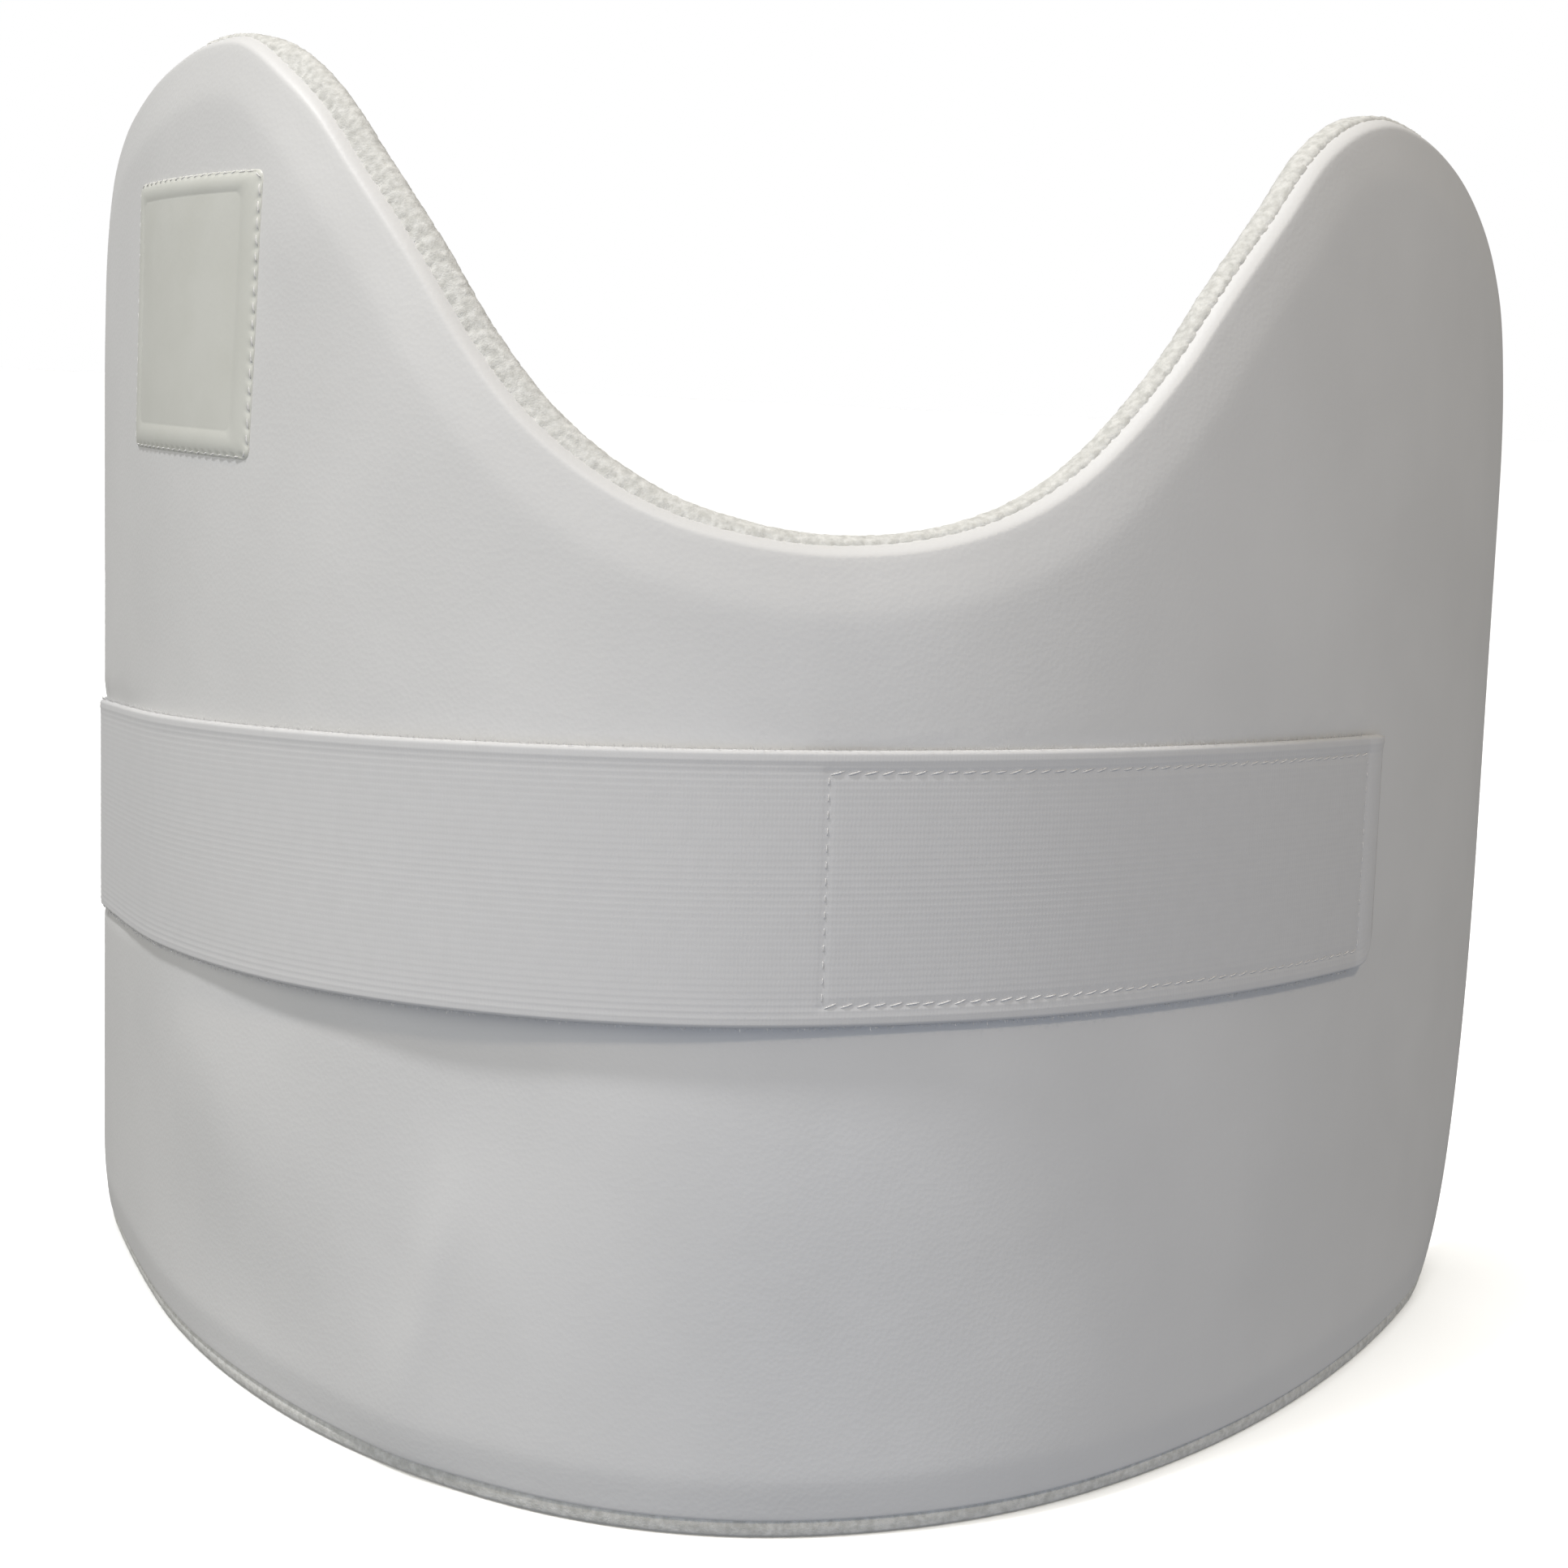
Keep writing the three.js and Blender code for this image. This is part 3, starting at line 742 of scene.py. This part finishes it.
rib, edge, width, thickness = (strap[key] for key in ("rib", "edge", "width", "thickness"))
ribCount = int(width / rib["pitch"])
faceHeights = np.linspace(edge["face"], width - edge["face"], ribCount * rib["points"] + 1)
ribs = rib["depth"] * (np.abs(np.sin(math.pi * faceHeights / rib["pitch"])) - rib["sunk"])
fromEdge = np.minimum(faceHeights, width - faceHeights) / rib["edgeReach"]
ribs = ribs * (1 + rib["edgeGain"] * np.exp(-(fromEdge**2)))
rounding = np.array([edge["round"], 0, edge["round"]])
turning = np.array([edge["deep"], 0, -edge["deep"]]) * thickness
heights = np.concatenate([faceHeights, width - rounding, faceHeights[::-1], rounding])
shifts = np.concatenate([thickness / 2 + ribs, turning, -thickness / 2 - ribs[::-1], -turning])
corner = strap["tipCorner"]
intoCorner = np.clip((bandAcross - strap["tip"] + corner) / corner, 0, 1)
cutUnder = corner * (1 - np.sqrt(1 - intoCorner**2))[:, None]
sectionHeights = cutUnder + heights * (width - cutUnder) / width
outward = shifts + np.sign(shifts) * selvedge(heights)
outward = outward + bandFlare(bandAcross[:, None], sectionHeights) + np.where(
    np.arange(len(heights)) < len(faceHeights), bandFace(bandAcross[:, None], sectionHeights), 0)
x, y, heading = (path[:, k][:, None] for k in range(3))
points = besideBand(x, y, heading, outward, sectionHeights)
count = points.shape[1]
ids = np.arange(len(points) * count).reshape(-1, count)
faceCount = len(faceHeights)
fore = np.arange(faceCount)
aft = 2 * faceCount + 2 - fore
cap = np.stack([fore[:-1], fore[1:], aft[1:], aft[:-1]], 1)
rounds = np.array([np.arange(faceCount - 1, faceCount + 4), [*np.arange(count - 4, count), 0]])
last = ids[-1, 0]
shape = (points.reshape(-1, 3), [sleeve(ids), cap, cap[:, ::-1] + last, rounds, rounds[:, ::-1] + last])
weave = np.stack(np.broadcast_arrays(bandRun[:, None], sectionHeights, outward), -1)
elasticStrap = newPiece("elastic_strap", shape, elastic, weave.reshape(-1, 3))
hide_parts("strap")


def onBand(across, height, lift=0.0):
    # place on the front face of the strap
    across, height = np.broadcast_arrays(np.asarray(across, float), np.asarray(height, float))
    out = bandCentre(across) + thickness / 2 + bandFace(across, height) + bandFlare(across, height) + lift
    return besideBand(*planAt(across), out, height)


def wallNormal(across):
    heading = planAt(across)[2]
    return normalised(np.stack([np.sin(heading), -np.cos(heading), np.cos(heading) * tanLean], -1))


fuzz = {
    "spacing": 0.4, "long": (0.3, 1), "fibre": 0.045, "taper": (1, 0.9, 0.5),
    "clear": (3, 8),  # no fibres this near to the left edge and to the tip
    "deep": (0.1, 0.8),  # share of the thickness where they start
    "spread": 0.6, "forward": 0.25, "kink": 0.08,
}
hairs = []
for edgeHeight, rise in ((width, 1), (0, -1)):
    spots = np.arange(strap["leaves"] + fuzz["clear"][0], strap["tip"] - fuzz["clear"][1], fuzz["spacing"])
    spots = spots + random.uniform(0, fuzz["spacing"], len(spots))
    root = onBand(spots, edgeHeight, -thickness * random.uniform(*fuzz["deep"], len(spots)))
    way = normalised(random.normal(size=(len(spots), 3)) * fuzz["spread"] + (0, -fuzz["forward"], rise))
    far = root + way * random.uniform(*fuzz["long"], (len(spots), 1)) * mm
    bend = (root + far) / 2 + random.normal(size=(len(spots), 3)) * fuzz["kink"] * mm
    radii = np.array(fuzz["taper"]) * fuzz["fibre"] * mm
    hairs.append(tubes(np.stack([root, bend, far], 1), wallNormal(spots), radii, 3))
strapFuzz = newPiece("strap_edge_fuzz", joined(hairs), elastic)

stitchForm = {  # shared by all the stitches
    "taper": (0.5, 0.95, 1, 0.95, 0.5), "sunk": 0.4, "sides": 6,
    "longVaries": (0.85, 1.1), "slantVaries": (0.5, 1.4),
}


def stitchAlong(line, normals, size):
    # a row of short thread bars that rise a little between needle holes
    run = runOf(line)
    count = max(1, round(run[-1] / (size["pitch"] * mm)))
    middle = (np.arange(count) + 0.5) * run[-1] / count
    half = size["long"] * mm / 2 * random.uniform(*stitchForm["longVaries"], count)
    start, end = alongLine(line, run, middle - half), alongLine(line, run, middle + half)
    normal = normalised(alongLine(normals, run, middle))
    slant = normalised(np.cross(normal, end - start)) * size.get("slant", 0) * mm / 2
    slant = slant * random.uniform(*stitchForm["slantVaries"], (count, 1))
    t = np.linspace(0, 1, len(stitchForm["taper"]))[None, :, None]
    paths = lerp((start - slant)[:, None], (end + slant)[:, None], t)
    paths = paths + normal[:, None] * size["rise"] * mm * (np.sin(t * math.pi) - stitchForm["sunk"])
    radii = np.array(stitchForm["taper"]) * size["thread"] * mm
    return tubes(paths, normal, radii, stitchForm["sides"])


strapSeam = {
    "rows": {"pitch": 3.1, "long": 2.5, "thread": 0.13, "rise": 0.13, "slant": 0.6},
    "ends": {"pitch": 3, "long": 1.4, "thread": 0.1, "rise": 0.05},
    "anchor": {"pitch": 3, "long": 2.5, "thread": 0.3, "rise": 0.3},
    "lift": 0.1,
    "points": {"rows": 400, "ends": 100, "anchor": 60},
}
seam = strap["seam"]
lift, linePoints = strapSeam["lift"], strapSeam["points"]
seamAcross = np.linspace(seam["from"], seam["to"], linePoints["rows"])
rows = [
    stitchAlong(onBand(seamAcross, height, lift), wallNormal(seamAcross), strapSeam["rows"])
    for height in (seam["margin"], width - seam["margin"])
]
seamHeights = np.linspace(seam["margin"], width - seam["margin"], linePoints["ends"])
ends = [
    stitchAlong(
        onBand(across, seamHeights, lift), wallNormal(np.full_like(seamHeights, across)), strapSeam["ends"])
    for across in (seam["from"], seam["to"])
]
strapStitches = newPiece("strap_stitches", joined(rows + ends), thread)

# The strap's other end, sewn to the towelling with a crossed box.
box = {"across": (194, 225), "height": (4, 46)}
(nearSide, farSide), (low, high) = box["across"], box["height"]
lines = [
    ((nearSide, low), (farSide, low)), ((nearSide, high), (farSide, high)),
    ((nearSide, low), (nearSide, high)), ((farSide, low), (farSide, high)),
    ((nearSide, low), (farSide, high)), ((nearSide, high), (farSide, low)),
]
seams = []
shares = np.linspace(0, 1, linePoints["anchor"])
for start, end in lines:
    spots = lerp(np.array(start, float), np.array(end, float), shares[:, None])
    line = besideBand(*planAt(spots[:, 0]), insideOut - thickness / 2 - rib["depth"], spots[:, 1])
    seams.append(stitchAlong(line, -wallNormal(spots[:, 0]), strapSeam["anchor"]))
anchorStitches = newPiece("anchor_stitches", joined(seams), thread)

# Hook tape under the strap's free end: a woven ground with rows of hooks towards the leather.
hookTape = {
    "from": -1, "to": 134, "margin": 4, "ground": (-0.4, 0.1), "hook": 0.42, "spacing": 1.7, "wire": 0.09,
    "steps": 60,
    "chamfer": 0.15,
    "first": (2, 1.5),  # the first row of hooks, along and up from the edges
    "last": 1,
    "rooted": 0.05,  # how deep a hook starts in the ground
    "bent": ((0, 0), (0.1, -0.8), (0.5, -1), (0.7, -0.55)),  # along and out, as shares of a hook's height
}
tapeAcross = np.linspace(hookTape["from"], hookTape["to"], hookTape["steps"])
inner, outer = hookTape["ground"]
lowEdge, highEdge, chamfer = hookTape["margin"], width - hookTape["margin"], hookTape["chamfer"]
x, y, heading = (value[:, None] for value in planAt(tapeAcross))
out = np.array([outer, outer, (inner + outer) / 2, inner, inner, (inner + outer) / 2])
height = np.array([
    lowEdge + chamfer, highEdge - chamfer, highEdge, highEdge - chamfer, lowEdge + chamfer, lowEdge])
points = besideBand(x, y, heading, out, height)
ids = np.arange(points.shape[0] * points.shape[1]).reshape(points.shape[:2])
ground = (points.reshape(-1, 3), [sleeve(ids), ids[:1], ids[-1:, ::-1].copy()])
(firstAlong, firstUp), lastGap = hookTape["first"], hookTape["last"]
spots = np.stack(np.meshgrid(
    np.arange(hookTape["from"] + firstAlong, hookTape["to"] - lastGap, hookTape["spacing"]),
    np.arange(lowEdge + firstUp, highEdge - lastGap, hookTape["spacing"])), -1).reshape(-1, 2)
x, y, heading = (value[:, None] for value in planAt(spots[:, 0]))
ahead, out = np.array(hookTape["bent"]).T * hookTape["hook"]
px, py = outFrom(x, y, heading, inner + hookTape["rooted"] + out)
px, py = px + ahead * np.cos(heading), py + ahead * np.sin(heading)
paths = raised(px, py, bandLow(px, py) + spots[:, 1][:, None])
up = np.tile([0.0, math.sin(wall["lean"]), math.cos(wall["lean"])], (len(spots), 1))
hooks = tubes(paths, up, np.full(len(ahead), hookTape["wire"] * mm), 3)
tapePiece = newPiece("hook_tape", joined([ground, hooks]), nylon)
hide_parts("hook_patch")

# Badge near the left peak: moulded face sunk in a puffed frame, sewn down along its thin outer edge.
badge = {
    "across": -156, "height": 228.8, "width": 61, "length": 56, "turn": math.radians(-5),
    "window": {"left": 5, "right": 7, "top": 4.2, "bottom": 5.5},  # frame's width on each side
    "corner": 2,
    "cells": 84,
    "profile": (  # share of the frame's width, and how far out
        (2.2, 0.7), (1.5, 0.65), (1.15, 0.62), (1.03, 0.61), (0.99, 0.6), (0.95, 0.64), (0.88, 0.71),
        (0.78, 0.8), (0.65, 0.85), (0.52, 0.85), (0.4, 0.79), (0.3, 0.68), (0.21, 0.56), (0.14, 0.48),
        (0.1, 0.44), (0.07, 0.38), (0.035, 0.22), (0, -0.05), (0, -0.35),
    ),
    "dimple": {"at": 0.11, "reach": 0.07, "depth": 0.36, "thinnest": 0.06},
    "stitch": {
        "at": 0.1, "out": 0.34, "pitch": 3.2, "long": 2, "thread": 0.17, "rise": 0.1, "slant": 0.4,
        "points": 200},
}


def badgeLoop(share, cells):
    # rounded rectangle between the badge's edge (0) and its sunk face (1), shrinking further inside it
    window = badge["window"]
    wide, high = badge["width"] / 2, badge["length"] / 2
    low = np.array([-wide + share * window["left"], -high + share * window["bottom"]])
    top = np.array([wide - share * window["right"], high - share * window["top"]])
    t = np.linspace(0, 1, cells, endpoint=False)
    one, none = np.ones(cells), np.zeros(cells)
    sides = ((t, none), (one, t), (1 - t, one), (none, 1 - t))
    side = low + (top - low) * np.concatenate([np.stack(ends, 1) for ends in sides])
    core = np.clip(side, low + badge["corner"], top - badge["corner"])
    return core + normalised(side - core) * badge["corner"]


def badgePattern(places, out):
    c, s = math.cos(badge["turn"]), math.sin(badge["turn"])
    across = badge["across"] + places[..., 0] * c - places[..., 1] * s
    up = badge["height"] + places[..., 0] * s + places[..., 1] * c - planAt(across)[1] * tanLean
    return np.stack([across, up, out + leatherRelief(across, up)], -1)


cells = badge["cells"]
stitch, dimple = badge["stitch"], badge["dimple"]
edgeLine = badgeLoop(0, cells)
edgeRun = runOf(np.concatenate([edgeLine, edgeLine[:1]]))
stitchCount = round(edgeRun[-1] / stitch["pitch"])
beat = 0.5 - 0.5 * np.cos(2 * math.pi * stitchCount * edgeRun[:-1] / edgeRun[-1])
loops = []
for share, out in badge["profile"]:
    sunk = dimple["depth"] * math.exp(-(((share - dimple["at"]) / dimple["reach"]) ** 2)) * beat**2
    loops.append(badgePattern(badgeLoop(share, cells), np.maximum(out - sunk, min(out, dimple["thinnest"]))))
pattern, faces = stackedSolid(loops, cells, cells)
mouldedBadge = newPiece("moulded_badge", (onWall(pattern), faces), vinyl)
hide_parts("badge")
line = badgeLoop(stitch["at"], stitch["points"])
line = badgePattern(np.concatenate([line, line[:1]]), stitch["out"])
newPiece(
    "badge_stitches", stitchAlong(onWall(line), wallNormal(line[:, 0]), stitch), thread)

print("guard built")

# Pale floor, a high key lamp on the left with lesser lamps round the guard, and an even pale surround.
studio = {
    "floor": {"colour": "#ededeb", "radius": 14, "sides": 96, "speck": 3, "wash": 3.1, "washSpread": 1.0},
    "lamps": {
        # azimuth, elevation, distance, size, power and colour; the low ones stand for light off the floor
        "key": (-75, 66, 1.5, 0.16, 11, "#fdfdff"),
        "front": (18, 50, 1.2, 0.12, 2.95, "#fff1dc"),
        "side": (-62, 30, 2, 1.6, 9.4, "#fffef8"),
        "fill": (4, -8, 0.6, 0.5, 0.34, "#a6c8ff"),
        "back": (180, -10, 1.5, 1.4, 13, "#ffffff"),
    },
    "aim": 0.14,  # height that the lamps point at
    "surround": {  # light from below and from above, and what the camera sees of it
        "low": 0.295, "high": 0.295, "colour": "#fffdfa", "seen": 1, "seenColour": "#ffffff"},
    "camera": {
        "place": (-71.32, -412.94, 212.08), "yaw": -8.031, "pitch": 11.879, "roll": 2.762,
        "lens": 44.72, "sensor": 36, "near": 0.01},
}
floorFinish = studio["floor"]
board, tree, shader = newMaterial(
    "mattPaintedBoard", {"Base Color": linear(floorFinish["colour"]), "Roughness": 0.9, "IOR": 1.5})
place = addNode(tree, "ShaderNodeTexCoord").outputs["Object"]
speck = addNode(tree, "ShaderNodeTexNoise", {"Vector": place, "Scale": perMetre(floorFinish["speck"])})
bump = addNode(tree, "ShaderNodeBump",
               {"Height": speck.outputs["Fac"], "Strength": 0.05, "Distance": 0.2 * mm})
tree.links.new(bump.outputs["Normal"], shader.inputs["Normal"])
angles = np.linspace(0, 2 * math.pi, floorFinish["sides"], endpoint=False)
disc = np.stack([np.cos(angles), np.sin(angles), np.zeros_like(angles)], 1) * floorFinish["radius"]
floorMesh = bpy.data.meshes.new("floor")
floorMesh.from_pydata(disc.tolist(), [], [list(range(len(disc)))])
floorMesh.materials.append(board)
floor = bpy.data.objects.new("floor", floorMesh)
bpy.context.scene.collection.objects.link(floor)
floor.visible_diffuse = floor.visible_glossy = floor.visible_shadow = False  # the surround fills the shadows

surround = studio["surround"]
world = bpy.data.worlds.new("surround")
bpy.context.scene.world = world
world.use_nodes = True
tree = world.node_tree
tree.nodes.clear()
way = addNode(tree, "ShaderNodeTexCoord").outputs["Generated"]
height = addNode(tree, "ShaderNodeSeparateXYZ", {"Vector": way}).outputs["Z"]
strength = addNode(tree, "ShaderNodeMapRange", {  # set by height, it is sampled as a lamp is
    "Value": height, "From Min": -1.0, "From Max": 1.0, "To Min": surround["low"],
    "To Max": surround["high"]})
fill = addNode(tree, "ShaderNodeBackground",
               {"Color": linear(surround["colour"]), "Strength": strength.outputs["Result"]})
backdrop = addNode(tree, "ShaderNodeBackground",
                   {"Color": linear(surround["seenColour"]), "Strength": surround["seen"]})
rays = addNode(tree, "ShaderNodeLightPath")
seen = addNode(tree, "ShaderNodeMixShader", {
    "Fac": rays.outputs["Is Camera Ray"], 1: fill.outputs["Background"], 2: backdrop.outputs["Background"]})
addNode(tree, "ShaderNodeOutputWorld", {"Surface": seen.outputs["Shader"]})

for name, (azimuth, elevation, distance, across, power, colour) in studio["lamps"].items():
    lamp = bpy.data.lights.new(name, "AREA")
    lamp.shape, lamp.size, lamp.energy = "DISK", across, power
    lamp.color = linear(colour)[:3]
    light = bpy.data.objects.new(name, lamp)
    light.matrix_world = (
        Matrix.Translation((0, 0, studio["aim"]))
        @ Matrix.Rotation(math.radians(azimuth), 4, "Z")
        @ Matrix.Rotation(math.radians(90 - elevation), 4, "X")
        @ Matrix.Translation((0, 0, distance))
    )
    bpy.context.scene.collection.objects.link(light)
# an even wash for the floor alone, straight from above
floorOnly = bpy.data.collections.new("floorOnly")
floorOnly.objects.link(floor)
lamp = bpy.data.lights.new("wash", "SUN")
lamp.energy, lamp.angle = floorFinish["wash"], floorFinish["washSpread"]
washLight = bpy.data.objects.new("wash", lamp)
washLight.light_linking.receiver_collection = floorOnly
bpy.context.scene.collection.objects.link(washLight)

shot = studio["camera"]
lens = bpy.data.cameras.new("camera")
lens.lens, lens.sensor_width, lens.clip_start = shot["lens"], shot["sensor"], shot["near"]
camera = bpy.data.objects.new("camera", lens)
camera.matrix_world = (
    Matrix.Translation([value * mm for value in shot["place"]])
    @ Matrix.Rotation(math.radians(shot["yaw"]), 4, "Z")
    @ Matrix.Rotation(math.radians(90 - shot["pitch"]), 4, "X")
    @ Matrix.Rotation(math.radians(shot["roll"]), 4, "Z")
)
bpy.context.scene.collection.objects.link(camera)
bpy.context.scene.camera = camera
bpy.context.scene.view_settings.view_transform = "Standard"
print("studio ready")
